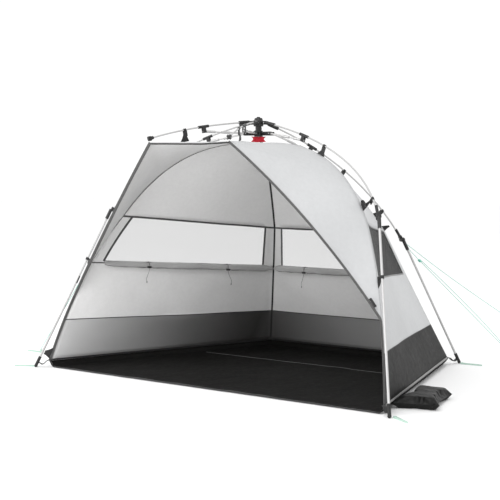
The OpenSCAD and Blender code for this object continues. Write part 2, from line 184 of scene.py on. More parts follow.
def plastic(name, colour, roughness=0.42, grain=0.00012, scuff=0.2):
    m = Nodes(name, roughness, Specular_IOR_Level=0.5)
    dirt = m.noise(60.0, 4.0, 0.6)
    m.colour(m.mix(m.ramp(dirt, 0.45, 0.75, 0.0, scuff), colour,
                   tuple(min(1, c * 1.6 + 0.03) for c in colour)))
    m.rough(m.ramp(m.noise(110.0, 3.0), 0.3, 0.7, roughness - 0.08, roughness + 0.1))
    m.bump((m.noise(1500.0, 2.0), grain))
    return m.material


def metal(name, colour, roughness, metallic):
    m = Nodes(name, roughness, metallic, Coat_Weight=0.15, Coat_Roughness=0.25)
    long = m.node("ShaderNodeMapping", {"Vector": m.place, "Scale": (1.0, 1.0, 0.06)}).outputs["Vector"]
    m.colour(m.mix(m.ramp(m.noise(90.0, 4.0, 0.6, long), 0.35, 0.7, 0.0, 0.1), colour,
                   tuple(c * 0.6 for c in colour)))
    m.rough(m.ramp(m.noise(40.0, 3.0), 0.3, 0.7, roughness - 0.06, roughness + 0.1))
    m.bump((m.noise(700.0, 2.0), 0.00005))
    return m.material


def braid(name, colour, dark):
    """Cord or webbing, with a twill of fine ridges."""
    m = Nodes(name, 0.7, Sheen_Weight=0.2, Sheen_Roughness=0.4)
    twill = m.node(
        "ShaderNodeTexWave", {"Vector": m.place, "Scale": 95.0, "Distortion": 1.5, "Detail": 2.0},
        bands_direction="DIAGONAL",
    ).outputs["Fac"]
    m.colour(m.mix(m.ramp(twill, 0.2, 0.9, 0.0, 1.0), dark, colour))
    m.bump((twill, 0.0003))
    return m.material


def netting(name, colour, see_through):
    """Window mesh, whose alpha is the share of thread in it."""
    m = Nodes(name, 0.5, Alpha=1 - see_through, Specular_IOR_Level=0.2)
    m.colour(m.mix(m.weave(1400), tuple(c * 0.6 for c in colour), colour))
    m.bump((m.weave(1400), 0.00005))
    return m.material


MAT = {
    "outer": cloth("canopy_outside", grey(0.57, -0.012), grey(0.52, -0.012)),
    # the wall's inside is the same fabric as outer, painted lighter to stand in for light shining through the
    # canopy
    "panel": cloth("wall_inside_painted_light", grey(0.88, 0.004), grey(0.82, 0.004), 0.7),
    "band_out": cloth("base_outside", grey(0.021, 0.03), grey(0.016, 0.03), 0.6, sheen=0.0, gloss=0.15),
    # the base band's inside has painted light: it is lighter than band_out, and pale towards the opening and
    # at the back wall's right end
    "band_in": cloth("base_inside_painted_light", grey(0.05, 0.03), grey(0.04, 0.03), 0.6, sheen=0.0, gloss=0.15,
                     band=(-1.1, 0.75, grey(0.78))),
    "floor": cloth("floor_fabric", grey(0.01, 0.04), grey(0.008, 0.04), 0.75, creases=0.003, sheen=0.0,
                   gloss=0.08),
    "pocket": cloth("pocket_fabric", grey(0.006, 0.03), grey(0.004, 0.03), 0.5, creases=0.008, sheen=0.0,
                    gloss=0.25),
    "piping": cloth("edge_binding", grey(0.09, 0.01), grey(0.07, 0.01), 0.7, creases=0.0004),
    "hem": cloth("hem_binding", grey(0.26, 0.01), grey(0.2, 0.01), 0.7, creases=0.0004),
    "seam": cloth("seam_tape", grey(0.03), grey(0.022), 0.6, creases=0.0003),
    "thread": cloth("seam_thread", grey(0.2), grey(0.15), 0.7, creases=0.0003),
    "cover_in": cloth("cover_inside", grey(0.42, 0.004), grey(0.34, 0.004), 0.7, creases=0.0025),
    "cover_out": cloth("cover_outside", grey(0.028, 0.03), grey(0.02, 0.03), 0.6, creases=0.002, sheen=0.0,
                       gloss=0.15),
    "mesh": netting("window_mesh", grey(0.34), 0.66),
    "mesh_dark": netting("window_mesh_dark", grey(0.022, 0.03), 0.35),
    "tube": metal("white_tube", grey(0.5, 0.005), 0.36, 0.35),
    "rod": metal("grey_rod", grey(0.55, 0.005), 0.3, 0.6),
    "black": plastic("black_plastic", grey(0.012)),
    "rubber": plastic("black_rubber", grey(0.01), 0.65, 0.0003, 0.1),
    "steel": metal("pin_steel", grey(0.5), 0.25, 1.0),
    "red": braid("red_webbing", (0.66, 0.008, 0.03), (0.45, 0.004, 0.018)),
    "peg": plastic("peg_plastic", (0.42, 0.58, 0.5), 0.4, 0.0002, 0.12),
    "cord": braid("guyline_cord", (0.2, 0.6, 0.47), (0.12, 0.45, 0.34)),
    "slider": plastic("slider_plastic", (0.2, 0.55, 0.44)),
    "webbing": braid("black_webbing", grey(0.02), grey(0.01)),
    "elastic": braid("grey_elastic", grey(0.12), grey(0.05)),
}
SLOTS = {
    "outer": "canopy_fabric", "panel": "canopy_fabric",
    "band_out": "dark_fabric", "band_in": "dark_fabric", "floor": "floor_fabric",
    "pocket": "dark_fabric", "piping": "dark_fabric", "hem": "dark_fabric", "seam": "dark_fabric",
    "thread": "floor_fabric", "cover_in": "cover_fabric", "cover_out": "cover_fabric",
    "mesh": "window_mesh", "mesh_dark": "window_mesh", "steel": "tube", "black": "black_plastic",
    "red": "red_webbing", "cord": "cord", "slider": "cord_plastic", "webbing": "webbing",
    "elastic": "webbing",
}

# ---------------------------------------------------------------- shape helpers


def mesh_object(name, points, faces, material, smooth=True):
    """A mesh object with outward normals; material is a name, or a list of names by face index."""
    data = bpy.data.meshes.new(name)
    data.from_pydata([tuple(p) for p in points], [], faces)
    names = [material] if isinstance(material, str) else list(dict.fromkeys(material))
    for key in names:
        data.materials.append(MAT[key])
    if not isinstance(material, str):
        data.polygons.foreach_set("material_index", [names.index(key) for key in material])
    data.polygons.foreach_set("use_smooth", [smooth] * len(data.polygons))
    data.update()
    made = bpy.data.objects.new(name, data)
    bpy.context.scene.collection.objects.link(made)
    if names[0] in SLOTS:
        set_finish(made, SLOTS[names[0]])
    return made


def apply_modifiers(obj):
    """Turns obj's modifiers into mesh."""
    bpy.context.view_layer.update()
    seen = obj.evaluated_get(bpy.context.evaluated_depsgraph_get())
    data = bpy.data.meshes.new_from_object(seen)
    obj.modifiers.clear()
    obj.data = data
    return obj


def join(name, parts):
    """One object out of several meshes, each with its own materials."""
    points, faces, keys, smooth = [], [], [], []
    for part in parts:
        start = len(points)
        points += [part.matrix_world @ v.co for v in part.data.vertices]
        for polygon in part.data.polygons:
            faces.append([start + i for i in polygon.vertices])
            keys.append(part.data.materials[polygon.material_index])
            smooth.append(polygon.use_smooth)
    data = bpy.data.meshes.new(name)
    data.from_pydata([tuple(p) for p in points], [], faces)
    used = list(dict.fromkeys(keys))
    for material in used:
        data.materials.append(material)
    data.polygons.foreach_set("material_index", [used.index(k) for k in keys])
    data.polygons.foreach_set("use_smooth", smooth)
    data.update()
    made = bpy.data.objects.new(name, data)
    bpy.context.scene.collection.objects.link(made)
    slot = parts[0].get("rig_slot")
    for part in parts:
        bpy.data.objects.remove(part, do_unlink=True)
    if slot:
        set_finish(made, slot)
    return made


def smooth_route(points, per_step=4):
    """A Catmull-Rom curve through points."""
    pts = [Vector(p) for p in points]
    out = []
    for i in range(len(pts) - 1):
        a, b, c, d = pts[max(i - 1, 0)], pts[i], pts[i + 1], pts[min(i + 2, len(pts) - 1)]
        for k in range(per_step):
            t = k / per_step
            out.append(0.5 * (2 * b + (c - a) * t + (2 * a - 5 * b + 4 * c - d) * t * t
                              + (3 * b - a - 3 * c + d) * t ** 3))
    return out + [pts[-1]]


def tube(name, path, radius, material, sides, radii=None):
    """A closed tube along path; radii scales it ring by ring."""
    last = len(path) - 1
    points, faces = [], []
    side = None
    for i, p in enumerate(path):
        way = (path[min(i + 1, last)] - path[max(i - 1, 0)]).normalized()
        start_from = UP if abs(way.z) < 0.9 else Vector((1, 0, 0))
        side = (side - way * side.dot(way)) if side else way.cross(start_from)
        side.normalize()
        up = side.cross(way)
        r = radius * (radii[i] if radii else 1)
        for k in range(sides):
            a = 2 * math.pi * k / sides
            points.append(p + side * r * math.cos(a) + up * r * math.sin(a))
    for i in range(last):
        for k in range(sides):
            n = (k + 1) % sides
            faces.append([i * sides + k, i * sides + n, (i + 1) * sides + n, (i + 1) * sides + k])
    faces.append([sides - 1 - k for k in range(sides)])
    faces.append([last * sides + k for k in range(sides)])
    return mesh_object(name, points, faces, material)


def slab(name, outline, thickness, at, x, y, material):
    """A flat plate with that outline, in the plane of x and y at point at, with rounded edges."""
    x = Vector(x).normalized()
    z = x.cross(Vector(y)).normalized()
    y = z.cross(x)
    n = len(outline)
    points = [Vector(at) + x * a + y * b + z * s * thickness / 2 for s in (-1, 1) for a, b in outline]
    faces = [list(range(n - 1, -1, -1)), list(range(n, 2 * n))]
    faces += [[i, (i + 1) % n, n + (i + 1) % n, n + i] for i in range(n)]
    made = mesh_object(name, points, faces, material, smooth=False)
    rounding = made.modifiers.new("bevel", "BEVEL")
    rounding.width, rounding.segments, rounding.limit_method = 0.0012, 2, "ANGLE"
    return apply_modifiers(made)


def flip(p):
    return Vector((-p[0], p[1], p[2]))


def bend(p, t):
    return (1 - t) ** 2 * p[0] + 2 * t * (1 - t) * p[1] + t * t * p[2]


def vectors(*points):
    return [Vector(p) for p in points]


# ---------------------------------------------------------------- the canopy's curves, as in the CAD

HEM_Z = 0.037
PEAK = (0, 0, 1.296)
FRONT = [vectors(PEAK, (0.56, -0.03, 1.338), (0.845, -0.2, 0.88)),
         vectors((0.845, -0.2, 0.88), (1.045, -0.375, 0.56), (1.143, -0.515, HEM_Z))]
REAR = [vectors(PEAK, (0.226, 0.389, 1.29), (0.4, 0.69, 0.79)),
        vectors((0.4, 0.69, 0.79), (0.5, 0.815, 0.48), (0.655, 0.989, HEM_Z))]
VISOR = vectors(PEAK, (0.15, -0.3, 1.306), (0.268, -0.597, 1.295))
FRONT_FOOT, REAR_FOOT = vectors((1.2, -0.568, 0.01), (0.687, 1.068, 0.01))
ARMS = {
    "front": vectors((0.0597, -0.0063, 1.408), (0.738, -0.064, 1.261), (0.908, -0.205, 0.913)),
    "rear": vectors((0.0325, 0.0504, 1.402), (0.325, 0.5043, 1.19), (0.478, 0.743, 0.746)),
    "visor": vectors((0.0247, -0.0547, 1.412), (0.1646, -0.3646, 1.39), (0.271, -0.599, 1.314)),
}
EDGE_JOINS = 0.795
EDGE = vectors(VISOR[2], (0.68, -0.45, 0.93), bend(FRONT[1], 2 * EDGE_JOINS - 1))
WINDOW_TOP, SILL, BAND = 0.5, 0.683, 0.88
WALL_SAG = 0.026


def rib(r, v):
    return bend(r[0], 2 * v) if v < 0.5 else bend(r[1], 2 * v - 1)


def mirrored(r):
    return [[flip(p) for p in part] for part in r]


WALLS = {
    "right": (REAR, FRONT),
    "left": (mirrored(FRONT), mirrored(REAR)),
    "back": (mirrored(REAR), REAR),
}


def ripple(p, fade):
    """Soft undulation and fine creases of tensioned cloth, none where fade is 0."""
    wide = noise.noise(p * 2.6 + Vector((3.1, 0.4, 1.7))) * 0.007
    slant = noise.noise(Vector(((p.x + p.z) * 7.0, p.y * 2.0, (p.z - p.y) * 3.0))) * 0.0028
    return (wide + slant) * fade


def wall_point(side, u, v):
    """A point of a wall; u runs across it and v down it."""
    a, b = WALLS[side]
    p = rib(a, v).lerp(rib(b, v), u)
    p -= 4 * u * (1 - u) * WALL_SAG * math.sin(math.pi * v) * Vector((p.x, p.y, 0.001)).normalized()
    fade = min(1, 5 * u, 5 * (1 - u)) * min(1, 8 * (1 - v), 5 * v)
    if v > BAND:
        fade *= 1.6
    return p + ripple(p, fade) * Vector((p.x, p.y, 0.3)).normalized()


def wall_normal(side, u, v):
    d = 0.01
    across = wall_point(side, min(u + d, 1), v) - wall_point(side, max(u - d, 0), v)
    down = wall_point(side, u, min(v + d, 1)) - wall_point(side, u, max(v - d, 0))
    n = across.cross(down).normalized()
    p = wall_point(side, u, v)
    return n if n.dot(Vector((p.x, p.y, 0.2))) > 0 else -n


def steps(a, b, n):
    return [a + (b - a) * i / n for i in range(n + 1)]


def grid_faces(rows, cols):
    n = cols + 1
    return [[i * n + j, (i + 1) * n + j, (i + 1) * n + j + 1, i * n + j + 1]
            for i in range(rows) for j in range(cols)]


def look_away(obj, middle):
    """Turns every face so that it looks away from the point middle."""
    for polygon in obj.data.polygons:
        if polygon.normal.dot(polygon.center - middle) < 0:
            polygon.flip()
    obj.data.update()


def thicken(obj, thickness, inner=None):
    """Gives a sheet its thickness towards the inside; inner names the inside's materials."""
    count = len(obj.data.materials)
    if inner:
        for material in list(obj.data.materials):
            key = next(k for k in MAT if MAT[k] == material)
            obj.data.materials.append(MAT[inner.get(key, key)])
    shell = obj.modifiers.new("shell", "SOLIDIFY")
    shell.thickness = thickness
    shell.offset = -1
    if inner:
        shell.material_offset = count
    return apply_modifiers(obj)


# ---------------------------------------------------------------- guylines

ROUTES = {
    "guyline_rear_high": [
        (0.482, 0.752, 0.736), (0.488, 0.8, 0.71), (0.5, 0.9, 0.658), (0.52, 1.09, 0.562),
        (0.545, 1.33, 0.446), (0.58, 1.65, 0.296), (0.61, 1.92, 0.172), (0.634, 2.13, 0.078),
        (0.65, 2.275, 0.014)],
    "guyline_rear_low": [
        (0.486, 0.753, 0.722), (0.498, 0.8, 0.683), (0.52, 0.882, 0.616), (0.555, 1.01, 0.513),
        (0.6, 1.18, 0.377), (0.65, 1.37, 0.227), (0.69, 1.525, 0.105), (0.72, 1.64, 0.014)],
    "guyline_front": [
        (-0.895, -0.176, 0.896), (-0.94, -0.175, 0.842), (-1.05, -0.172, 0.706),
        (-1.2, -0.168, 0.52), (-1.35, -0.164, 0.334), (-1.48, -0.162, 0.174), (-1.608, -0.16, 0.014)],
}
LINE_D = 0.003
GROUND = {"joint": "frame_fold", "axis": (0, 0, 1), "anchor": (0, 0, 0), "keep": 0.04}
# the canopy comes down onto the groundsheet's turned-up edge, below the folded elbows
HEM = {"joint": "frame_fold", "axis": (0, 0, 1), "anchor": (0, 0, HEM_Z), "keep": 0.003}


def settle(obj, *nodes, onto=GROUND):
    """A soft piece of the shelter: it rides on the shelter, and the CAD parts named by nodes are hidden."""
    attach(obj, "shelter")
    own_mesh(obj)
    if nodes:
        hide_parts(*nodes)
    return obj


def knot(name, at, way, radius, material):
    """A wound knot: three turns round the line and a short tail."""
    way = way.normalized()
    side = way.cross(UP).normalized()
    up = side.cross(way)
    turns = []
    for t in steps(0, 3, 36):
        round_it = side * math.cos(6.283 * t) + up * math.sin(6.283 * t)
        turns.append(at + way * (t * 0.0025 - 0.004) + round_it * radius)
    turns += [turns[-1] + way * 0.004 * k - UP * 0.005 * k for k in (1, 2, 3)]
    return tube(name, turns, LINE_D * 0.45, material, 6)


slider_at = Vector(ROUTES["guyline_rear_low"][2])
slider_way = (slider_at - Vector(ROUTES["guyline_rear_low"][1])).normalized()
slider = slab("line_slider", [(-0.011, -0.006), (-0.008, -0.009), (0.008, -0.009), (0.011, -0.006),
                              (0.011, 0.006), (0.008, 0.009), (-0.008, 0.009), (-0.011, 0.006)],
              0.008, slider_at, slider_way, (1, 0, 0), "slider")
settle(slider, "line_tensioner")
for node, route in ROUTES.items():
    path = smooth_route(route, 3)
    line = tube(node + "_line", path, LINE_D / 2, "cord", 8)
    settle(line, node)
    wound = knot(node + "_knot", path[0] + (path[1] - path[0]) * 0.3, path[1] - path[0], 0.003, "cord")
    settle(wound)

# The lower rear line runs back from its peg to the slider, beside the first strand
low = [Vector(p) for p in ROUTES["guyline_rear_low"]]
back_strand = smooth_route(
    [slider_at + slider_way * 0.006 + Vector((0.007, 0, 0.004))]
    + [low[i] + Vector((0.014, 0, 0.008)) * k for i, k in ((3, 0.9), (4, 1.2), (5, 1.2), (6, 0.8))]
    + [low[7] + Vector((0.003, 0, 0.003))], 3)
strand = tube("guyline_back_strand", back_strand, LINE_D / 2, "cord", 8)
settle(strand)

# ---------------------------------------------------------------- canopy

WALL_V = sorted({round(v, 4) for v in steps(0.0, 1.0, 60)} | {WINDOW_TOP, SILL, BAND})
WINDOWS = {"right": (0.065, 0.945), "left": (0.055, 0.935), "back": (0.07, 0.93)}


def wall_sheet(side):
    """One wall with its window cut out, dark below the base band."""
    us = sorted({round(u, 4) for u in steps(0.0, 1.0, 40)} | set(WINDOWS[side]))
    points = [wall_point(side, u, v) for u in us for v in WALL_V]
    faces, keys = [], []
    cols = len(WALL_V)
    for i in range(len(us) - 1):
        for j in range(cols - 1):
            u, v = (us[i] + us[i + 1]) / 2, (WALL_V[j] + WALL_V[j + 1]) / 2
            if WINDOW_TOP < v < SILL and WINDOWS[side][0] < u < WINDOWS[side][1]:
                continue
            faces.append([i * cols + j, (i + 1) * cols + j, (i + 1) * cols + j + 1, i * cols + j + 1])
            keys.append("band_out" if v > BAND else "outer")
    return points, faces, keys


def visor_point(u, v):
    """The roof between the visor's two arms; u runs from right to left and v forwards."""
    p = bend(VISOR, v)
    q = p.lerp(flip(p), u)
    q.z -= 0.004 * 4 * u * (1 - u) * v
    return q + UP * ripple(q, min(1, 4 * u, 4 * (1 - u)) * min(1, 4 * v) * 0.6)


def strip_edge(w):
    """The strip's front border: the visor's rib, then the opening's edge; w runs from 0 to 1."""
    return bend(VISOR, w / 0.4) if w < 0.4 else bend(EDGE, (w - 0.4) / 0.6)


def strip_point(side, u, w):
    """The front strip between the side rib and the opening's edge."""
    p = rib(FRONT, w * EDGE_JOINS).lerp(strip_edge(w), u)
    fade = min(1, 4 * u, 4 * (1 - u)) * min(1, 4 * w, 4 * (1 - w))
    out = Vector((p.x, p.y - 0.5, p.z * 0.8)).normalized()
    p -= out * 4 * u * (1 - u) * 0.012 * math.sin(math.pi * w)
    p += out * ripple(p, fade)
    return p if side == "right" else flip(p)


def canopy():
    points, faces, keys = [], [], []

    def add(pts, fcs, names):
        start = len(points)
        points.extend(pts)
        faces.extend([[start + i for i in f] for f in fcs])
        keys.extend(names)

    for side in WALLS:
        add(*wall_sheet(side))
    us, vs = steps(0, 1, 20), steps(0, 1, 30)
    add([visor_point(u, v) for u in us for v in vs], grid_faces(20, 30), ["outer"] * 600)
    for side in ("right", "left"):
        us, ws = steps(0, 1, 24), steps(0, 1, 60)
        add([strip_point(side, u, w) for u in us for w in ws], grid_faces(24, 60), ["outer"] * 1440)
    made = mesh_object("canopy", points, faces, keys)
    look_away(made, Vector((0, 0.15, 0.45)))
    weld = made.modifiers.new("weld", "WELD")
    weld.merge_threshold = 0.0004
    return made


canopy_sheet = canopy()
thicken(canopy_sheet, 0.0012, {"outer": "panel", "band_out": "band_in"})
settle(canopy_sheet, "roof_front", "front_strip_right", "front_strip_left", "wall_right", "wall_left",
       "wall_back", onto=HEM)

# ---------------------------------------------------------------- seams, bindings and piping


def tape(name, line, across, out, width, thickness, material, waver=0.0):
    """A flat tape along line; across and out give its width and face directions, point by point."""
    section = [(-0.5, 0), (-0.42, 1), (0.42, 1), (0.5, 0), (0.42, -0.6), (-0.42, -0.6)]
    points, faces = [], []
    last = len(line) - 1
    for i, p in enumerate(line):
        shift = noise.noise(p * 14) * waver
        for a, b in section:
            points.append(p + across[i] * (a * width + shift) + out[i] * b * thickness)
    n = len(section)
    for i in range(last):
        for k in range(n):
            m = (k + 1) % n
            faces.append([i * n + k, i * n + m, (i + 1) * n + m, (i + 1) * n + k])
    faces += [[n - 1 - k for k in range(n)], [last * n + k for k in range(n)]]
    return mesh_object(name, points, faces, material)


def surface_tape(name, point, normal, route, width, material, lift, thickness=0.0008, waver=0.0006):
    """A tape that follows a surface along route, a list of (u, v), lifted along the normal."""
    line = [point(*uv) for uv in route]
    last = len(line) - 1
    ways = [(line[min(i + 1, last)] - line[max(i - 1, 0)]).normalized() for i in range(last + 1)]
    outs = [normal(*uv) * (1 if lift > 0 else -1) for uv in route]
    line = [p + o * abs(lift) for p, o in zip(line, outs)]
    across = [w.cross(o).normalized() for w, o in zip(ways, outs)]
    return tape(name, line, across, outs, width, thickness, material, waver)


def on_wall(side):
    return (lambda u, v: wall_point(side, u, v)), (lambda u, v: wall_normal(side, u, v))


INSIDE, OUTSIDE = -0.0018, 0.0006
trim = []
for side in WALLS:
    point, normal = on_wall(side)
    u0, u1 = WINDOWS[side]
    top = [(u, WINDOW_TOP) for u in steps(0.004, 0.996, 40)]
    trim.append(surface_tape(side + "_top", point, normal, top, 0.012, "piping", INSIDE))
    for k, u in enumerate((u0, u1)):
        bar = [(u, v) for v in steps(WINDOW_TOP, SILL, 12)]
        trim.append(surface_tape(f"{side}_bar{k}", point, normal, bar, 0.013, "piping", INSIDE))
        trim.append(surface_tape(f"{side}_rim{k}", point, normal, bar, 0.008, "thread", OUTSIDE))
    for k, v in enumerate((WINDOW_TOP, SILL)):
        row = [(u, v) for u in steps(u0, u1, 30)]
        trim.append(surface_tape(f"{side}_sill{k}", point, normal, row, 0.008, "thread", OUTSIDE))
    low_row = [(u, SILL + 0.006) for u in steps(0.004, 0.996, 40)]
    trim.append(surface_tape(side + "_under", point, normal, low_row, 0.007, "piping", INSIDE))
    band_row = [(u, BAND) for u in steps(0.004, 0.996, 40)]
    trim.append(surface_tape(side + "_band", point, normal, band_row, 0.005, "seam", INSIDE))
    trim.append(surface_tape(side + "_band_out", point, normal, band_row, 0.003, "piping", OUTSIDE))
    hem_row = [(u, 0.997) for u in steps(0.0, 1.0, 40)]
    trim.append(surface_tape(side + "_hem", point, normal, hem_row, 0.012, "hem", 0.001, 0.0012))
    trim.append(surface_tape(side + "_hem_in", point, normal, hem_row, 0.010, "seam", INSIDE))


def rib_tape(name, r, v0, v1, width, material, inward, thickness=0.0012):
    """A seam tape under a rib, on the inside of the canopy."""
    vs = steps(v0, v1, 60)
    line = [rib(r, v) for v in vs]
    last = len(line) - 1
    ways = [(line[min(i + 1, last)] - line[max(i - 1, 0)]).normalized() for i in range(last + 1)]
    outs = []
    for p, w in zip(line, ways):
        o = -Vector((p.x, p.y - 0.1, max(p.z - 0.5, 0) + 0.15)).normalized()
        outs.append((o - w * o.dot(w)).normalized())
    line = [p + o * inward for p, o in zip(line, outs)]
    across = [w.cross(o).normalized() for w, o in zip(ways, outs)]
    return tape(name, line, across, outs, width, thickness, material, 0.0006)


for tag, front, rear in (("right", FRONT, REAR), ("left", mirrored(FRONT), mirrored(REAR))):
    trim.append(rib_tape("rib_front_" + tag, front, 0.04, 0.995, 0.006, "seam", 0.003))
    trim.append(rib_tape("rib_rear_" + tag, rear, 0.04, 0.995, 0.012, "seam", 0.004))


def edge_point(t):
    """The right side of the front opening, from the visor's corner to the ground."""
    return bend(EDGE, t / 0.68) if t < 0.68 else rib(FRONT, EDGE_JOINS + (1 - EDGE_JOINS) * (t - 0.68) / 0.32)


for tag in ("right", "left"):
    line = [edge_point(t) for t in steps(0.0, 0.998, 90)]
    if tag == "left":
        line = [flip(p) for p in line]
    last = len(line) - 1
    ways = [(line[min(i + 1, last)] - line[max(i - 1, 0)]).normalized() for i in range(last + 1)]
    inwards = [Vector((-1 if tag == "right" else 1, 0.35, -0.5)).normalized() for _ in line]
    across = [(n - w * n.dot(w)).normalized() for n, w in zip(inwards, ways)]
    outs = [w.cross(a).normalized() for w, a in zip(ways, across)]
    trim.append(tape("edge_" + tag, [p + a * 0.004 for p, a in zip(line, across)], across, outs,
                     0.015, 0.0014, "piping", 0.0008))
    trim.append(tube("edge_cord_" + tag, [p - a * 0.003 for p, a in zip(line, across)], 0.0026, "piping", 8))
# The front edge's binding takes the darker seam colour, not piping: painted shade, for the binding seen from
# inside in shadow.
front_line = [visor_point(u, 1.0) - UP * 0.007 for u in steps(0, 1, 40)]
down, forwards = Vector((0, 0.35, -1)).normalized(), Vector((0, -1, -0.35)).normalized()
trim.append(tape("edge_front", front_line, [down] * 41, [forwards] * 41, 0.009, 0.0014, "seam", 0.0008))
settle(join("canopy_bindings", trim), onto=HEM)

# ---------------------------------------------------------------- windows and their covers

for side in WALLS:
    u0, u1 = WINDOWS[side]
    us, vs = steps(u0 - 0.004, u1 + 0.004, 30), steps(WINDOW_TOP - 0.004, SILL + 0.004, 14)
    points = [wall_point(side, u, v) - wall_normal(side, u, v) * 0.0006 for u in us for v in vs]
    pane = mesh_object("window_" + side, points, grid_faces(30, 14),
                       "mesh_dark" if side == "right" else "mesh")
    settle(pane, onto=HEM)
    if side == "right":
        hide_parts("window_panels")

# The right window's cover hangs closed behind its mesh
us, vs = steps(0.05, 0.96, 40), steps(0.482, 0.7, 16)
points = [wall_point("right", u, v) - wall_normal("right", u, v)
          * (0.006 + 0.004 * noise.noise(wall_point("right", u, v) * 9)) for u in us for v in vs]
closed = mesh_object("cover_closed", points, grid_faces(40, 16), "cover_out")
look_away(closed, Vector((0, 0.2, 0.7)))
thicken(closed, 0.001, {"cover_out": "cover_in"})
settle(closed, "window_covers", onto=HEM)


ROLL_R, ROLL_INSET = 0.0145, 0.019
UNDERSIDE = range(12, 19)


def roll(side, u0, u1, toggles):
    """A cover rolled up on its sill, pinched where its toggles hold it."""
    n, sides = 150, 22
    points, faces, keys, line = [], [], [], []
    for u in steps(u0, u1, n):
        p, o = wall_point(side, u, SILL + 0.004), wall_normal(side, u, SILL)
        line.append((p - o * ROLL_INSET - UP * 0.002, -o, u))
    for i, (p, o, u) in enumerate(line):
        end = min(1.0, 12 * (u - u0) + 0.45, 12 * (u1 - u) + 0.45)
        pinch = 1 - sum(0.35 * math.exp(-(((u - t) / 0.014) ** 2)) for t in toggles)
        swell = (1 + 0.16 * noise.noise(Vector((u * 9, 1.3, 0)))) * end * pinch
        for k in range(sides):
            a = 2 * math.pi * k / sides
            fold = 1 + 0.14 * noise.noise(Vector((u * 16, math.cos(a) * 1.6, math.sin(a) * 1.6)))
            fold += 0.05 * noise.noise(Vector((u * 60, math.cos(a) * 3, math.sin(a) * 3)))
            step = 0.10 * ((k / sides + 0.15 * noise.noise(Vector((u * 5, 7, 0)))) % 1.0)
            r = ROLL_R * swell * (fold + step)
            points.append(p + o * r * math.cos(a) * 0.85 + UP * r * math.sin(a) * 1.2)
    for i in range(n):
        for k in range(sides):
            m = (k + 1) % sides
            faces.append([i * sides + k, i * sides + m, (i + 1) * sides + m, (i + 1) * sides + k])
            keys.append("piping" if k in UNDERSIDE else "cover_in")
    faces += [[sides - 1 - k for k in range(sides)], [n * sides + k for k in range(sides)]]
    keys += ["cover_in", "cover_in"]
    made = mesh_object("cover_roll_" + side, points, faces, keys)
    settle(made)
    for k, t in enumerate(toggles):
        p, o = wall_point(side, t, SILL + 0.004), wall_normal(side, t, SILL)
        way = (wall_point(side, t + 0.01, SILL) - wall_point(side, t - 0.01, SILL)).normalized()
        at = p - o * 0.03 - UP * 0.012
        block = slab(f"toggle_{side}{k}", [(-0.013, -0.004), (-0.01, -0.006), (0.01, -0.006), (0.013, -0.004),
                                          (0.013, 0.004), (0.01, 0.006), (-0.01, 0.006), (-0.013, 0.004)],
                     0.009, at, way, UP, "black")
        band = [p - o * 0.0165 + (-o * math.cos(a) * 0.0155 + UP * math.sin(a) * 0.0185) * 0.9
                for a in steps(0, 6.1, 24)]
        loop = tube("loop", band, 0.0014, "webbing", 6)
        settle(join(f"toggle_set_{side}{k}", [block, loop]))
        sway = 0.012 if k else -0.01
        tail = smooth_route([at - UP * 0.004, at - UP * 0.02 + way * sway * 0.2, at - UP * 0.045 + way * sway,
                             at - UP * 0.068 + way * sway * 1.9, at - UP * 0.088 + way * sway * 1.7], 5)
        cord_piece = tube(f"cover_cord_{side}{k}", tail, 0.001, "elastic", 6)
        settle(cord_piece)
        bead = tube(f"cover_bead_{side}{k}", [tail[-1] + UP * 0.004, tail[-1] + UP * 0.001,
                                              tail[-1] - UP * 0.003, tail[-1] - UP * 0.007],
                    0.0024, "elastic", 8, radii=[0.5, 1, 1, 0.5])
        settle(bead)


roll("left", 0.06, 0.985, (0.28, 0.72))
roll("back", 0.02, 0.98, (0.27, 0.73))

# ---------------------------------------------------------------- groundsheet

FC, RC = FRONT[1][2], REAR[1][2]


def floor_point(s, t):
    """A point of the groundsheet: s from left to right, t from front to back."""
    half = FC.x + (RC.x - FC.x) * t
    x = half * (2 * s - 1)
    y = FC.y + (RC.y - FC.y) * t
    gap = min((half - abs(x)) / 0.03, (RC.y - y) / 0.035)
    rise = max(0.0, 1 - gap)
    front = max(0.0, 1 - (y - FC.y) / 0.02)
    z = 0.0042 + 0.033 * rise ** 1.5
    p = Vector((x, y, z))
    calm = min(1.0, gap * 0.25)
    z += calm * max(0.0, 0.005 * noise.noise(p * 2.5) + 0.003 * noise.noise(p * 7 + Vector((2, 5, 1))))
    z += 0.004 * front * calm * (0.5 + 0.5 * noise.noise(Vector((x * 6, 0, 4))))
    return Vector((x, y, min(z, HEM_Z)))


def denser_ends(n, sharp):
    """n steps from 0 to 1, closer together near both ends."""
    return [0.5 - 0.5 * math.copysign(abs(1 - 2 * t) ** sharp, 1 - 2 * t) for t in steps(0, 1, n)]


ss, ts = denser_ends(90, 0.6), denser_ends(70, 0.6)
ground_points = [floor_point(s, t) for s in ss for t in ts]
ground = mesh_object("groundsheet_fabric", ground_points, grid_faces(90, 70), "floor")
for polygon in ground.data.polygons:
    if polygon.normal.z < 0:
        polygon.flip()
thicken(ground, 0.002)
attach(ground, "shelter")
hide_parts("groundsheet")

SEAM_Y = 0.47
BACKWARDS = Vector((0, 1, 0))
seam_t = (SEAM_Y - FC.y) / (RC.y - FC.y)
seam_line = [floor_point(s, seam_t) + UP * 0.0006 for s in steps(0.03, 0.97, 80)]
front_edge_line = [floor_point(s, 0.003) for s in steps(0.0, 1.0, 100)]
floor_trim = [
    tape("floor_seam", seam_line, [BACKWARDS] * 81, [UP] * 81, 0.004, 0.0006, "thread"),
    tape("floor_edge", front_edge_line, [BACKWARDS] * 101, [UP] * 101, 0.014, 0.0014, "seam", 0.0008),
]
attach(join("groundsheet_seams", floor_trim), "shelter")

# ---------------------------------------------------------------- sand pockets

